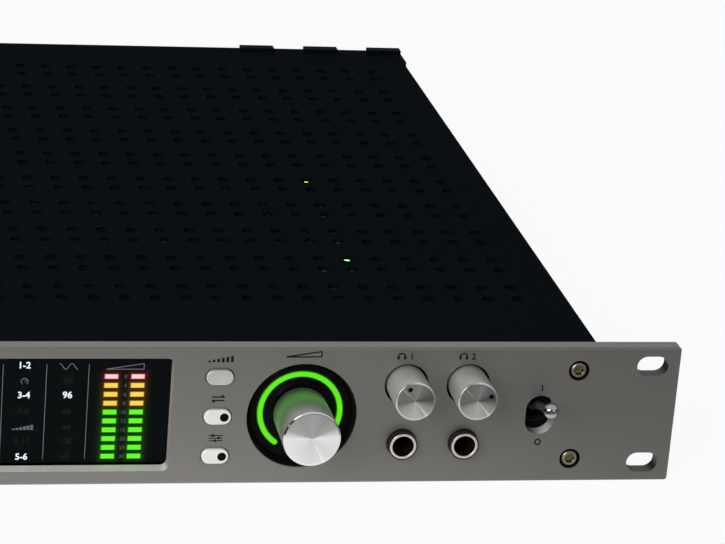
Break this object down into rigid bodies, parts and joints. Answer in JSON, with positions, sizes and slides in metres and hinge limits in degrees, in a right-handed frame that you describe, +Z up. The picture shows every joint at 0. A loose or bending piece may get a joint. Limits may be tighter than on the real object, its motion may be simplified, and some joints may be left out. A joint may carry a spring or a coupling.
{
  "type": "rack audio interface",
  "caption": "Rack-mount audio interface: thick front panel with display, turned knobs, jacks, buttons and power lever on a vented sheet case with rear sockets.",
  "frame": {"origin": "centre of the four rack slots, on the seating face of the front panel", "axes": "+X to the right seen from the front, +Y to the rear, +Z up"},
  "size_m": [0.4826, 0.336, 0.0444],
  "materials": {
    "front_panel": "satin anodised",
    "panel_screws": "bright",
    "chassis_tray": "satin black",
    "top_cover": "satin black",
    "cover_rails": "plated",
    "case_screws": "black",
    "rear_panel": "satin black",
    "display_window": "polished",
    "display_housing": "matt",
    "meter_bars": "lit",
    "monitor_dial_plate": "polished",
    "monitor_light_ring": "lit",
    "monitor_encoder": "plated",
    "monitor_plunger": "plain",
    "monitor_shaft": "bright",
    "monitor_knob": "spun face",
    "gain_dial_plate": "polished",
    "gain_light_ring": "lit",
    "gain_encoder": "plated",
    "gain_plunger": "plain",
    "gain_shaft": "bright",
    "gain_knob": "spun face",
    "phones_pots": "plated",
    "phones_shaft_1": "bright",
    "phones_knob_1": "spun face",
    "phones_shaft_2": "bright",
    "phones_knob_2": "spun face",
    "front_jacks": "satin",
    "jack_rings": "nickel",
    "meter_button": "satin",
    "output_button": "satin",
    "function_button": "satin",
    "input_button": "satin",
    "low_cut_button": "satin",
    "supply_button": "satin",
    "pad_button": "satin",
    "polarity_button": "satin",
    "link_button": "satin",
    "button_switches": "plain",
    "power_switch": "plain",
    "power_lever": "polished",
    "front_board": "solder mask",
    "front_board_pillars": "plated",
    "main_board": "solder mask",
    "board_standoffs": "plated",
    "board_screws": "bright",
    "heat_sinks": "anodised",
    "board_chips": "plain",
    "board_capacitors": "sleeved",
    "board_relays": "plain",
    "status_lamps": "lit",
    "ribbon_cable": "plain",
    "connector_board": "solder mask",
    "combo_sockets": "satin",
    "line_jacks": "satin",
    "clock_sockets": "nickel",
    "optical_ports": "satin",
    "computer_ports": "plated",
    "power_inlet": "satin",
    "socket_screws": "black"
  },
  "bodies": {
    "case": {"front_panel": "front_panel", "panel_screws": "panel_screws", "chassis_tray": "chassis_tray", "top_cover": "top_cover", "cover_rails": "cover_rails", "case_screws": "case_screws", "rear_panel": "rear_panel", "display_window": "display_window", "display_housing": "display_housing", "meter_bars": "meter_bars", "monitor_dial_plate": "monitor_dial_plate", "monitor_light_ring": "monitor_light_ring", "monitor_encoder": "monitor_encoder", "gain_dial_plate": "gain_dial_plate", "gain_light_ring": "gain_light_ring", "gain_encoder": "gain_encoder", "phones_pots": "phones_pots", "front_jacks": "front_jacks", "jack_rings": "jack_rings", "button_switches": "button_switches", "power_switch": "power_switch", "front_board": "front_board", "front_board_pillars": "front_board_pillars", "main_board": "main_board", "board_standoffs": "board_standoffs", "board_screws": "board_screws", "heat_sinks": "heat_sinks", "board_chips": "board_chips", "board_capacitors": "board_capacitors", "board_relays": "board_relays", "status_lamps": "status_lamps", "ribbon_cable": "ribbon_cable", "connector_board": "connector_board", "combo_sockets": "combo_sockets", "line_jacks": "line_jacks", "clock_sockets": "clock_sockets", "optical_ports": "optical_ports", "computer_ports": "computer_ports", "power_inlet": "power_inlet", "socket_screws": "socket_screws"},
    "monitor_push": {"monitor_plunger": "monitor_plunger"},
    "monitor_dial": {"monitor_shaft": "monitor_shaft", "monitor_knob": "monitor_knob"},
    "gain_push": {"gain_plunger": "gain_plunger"},
    "gain_dial": {"gain_shaft": "gain_shaft", "gain_knob": "gain_knob"},
    "phones_1": {"phones_shaft_1": "phones_shaft_1", "phones_knob_1": "phones_knob_1"},
    "phones_2": {"phones_shaft_2": "phones_shaft_2", "phones_knob_2": "phones_knob_2"},
    "meter_button": {"meter_button": "meter_button"},
    "output_button": {"output_button": "output_button"},
    "function_button": {"function_button": "function_button"},
    "input_button": {"input_button": "input_button"},
    "low_cut_button": {"low_cut_button": "low_cut_button"},
    "supply_button": {"supply_button": "supply_button"},
    "pad_button": {"pad_button": "pad_button"},
    "polarity_button": {"polarity_button": "polarity_button"},
    "link_button": {"link_button": "link_button"},
    "power_lever": {"power_lever": "power_lever"}
  },
  "joints": [
    {"name": "monitor_push", "type": "slide", "parent": "case", "child": "monitor_push", "axis": [0, 1, 0], "range_m": [0, 0.0006], "stiffness_N_per_m": 4000},
    {"name": "monitor_turn", "type": "hinge", "parent": "monitor_push", "child": "monitor_dial", "pos_m": [0.1252, 0, 0], "axis": [0, 1, 0], "continuous": true},
    {"name": "gain_push", "type": "slide", "parent": "case", "child": "gain_push", "axis": [0, 1, 0], "range_m": [0, 0.0006], "stiffness_N_per_m": 4000},
    {"name": "gain_turn", "type": "hinge", "parent": "gain_push", "child": "gain_dial", "pos_m": [-0.1387, 0, 0], "axis": [0, 1, 0], "continuous": true},
    {"name": "phones_turn_1", "type": "hinge", "parent": "case", "child": "phones_1", "pos_m": [0.1564, 0, 0.01], "axis": [0, 1, 0], "range_deg": [-124, 176]},
    {"name": "phones_turn_2", "type": "hinge", "parent": "case", "child": "phones_2", "pos_m": [0.1754, 0, 0.01], "axis": [0, 1, 0], "range_deg": [-218, 82]},
    {"name": "meter_button_press", "type": "slide", "parent": "case", "child": "meter_button", "axis": [0, 1, 0], "range_m": [0, 0.0006], "stiffness_N_per_m": 2500},
    {"name": "output_button_press", "type": "slide", "parent": "case", "child": "output_button", "axis": [0, 1, 0], "range_m": [0, 0.0006], "stiffness_N_per_m": 2500},
    {"name": "function_button_press", "type": "slide", "parent": "case", "child": "function_button", "axis": [0, 1, 0], "range_m": [0, 0.0006], "stiffness_N_per_m": 2500},
    {"name": "input_button_press", "type": "slide", "parent": "case", "child": "input_button", "axis": [0, 1, 0], "range_m": [0, 0.0006], "stiffness_N_per_m": 2500},
    {"name": "low_cut_button_press", "type": "slide", "parent": "case", "child": "low_cut_button", "axis": [0, 1, 0], "range_m": [0, 0.0006], "stiffness_N_per_m": 2500},
    {"name": "supply_button_press", "type": "slide", "parent": "case", "child": "supply_button", "axis": [0, 1, 0], "range_m": [0, 0.0006], "stiffness_N_per_m": 2500},
    {"name": "pad_button_press", "type": "slide", "parent": "case", "child": "pad_button", "axis": [0, 1, 0], "range_m": [0, 0.0006], "stiffness_N_per_m": 2500},
    {"name": "polarity_button_press", "type": "slide", "parent": "case", "child": "polarity_button", "axis": [0, 1, 0], "range_m": [0, 0.0006], "stiffness_N_per_m": 2500},
    {"name": "link_button_press", "type": "slide", "parent": "case", "child": "link_button", "axis": [0, 1, 0], "range_m": [0, 0.0006], "stiffness_N_per_m": 2500},
    {"name": "power_tilt", "type": "hinge", "parent": "case", "child": "power_lever", "pos_m": [0.1986, 0.005, 0], "axis": [1, 0, 0], "range_deg": [0, 32.6]}
  ]
}
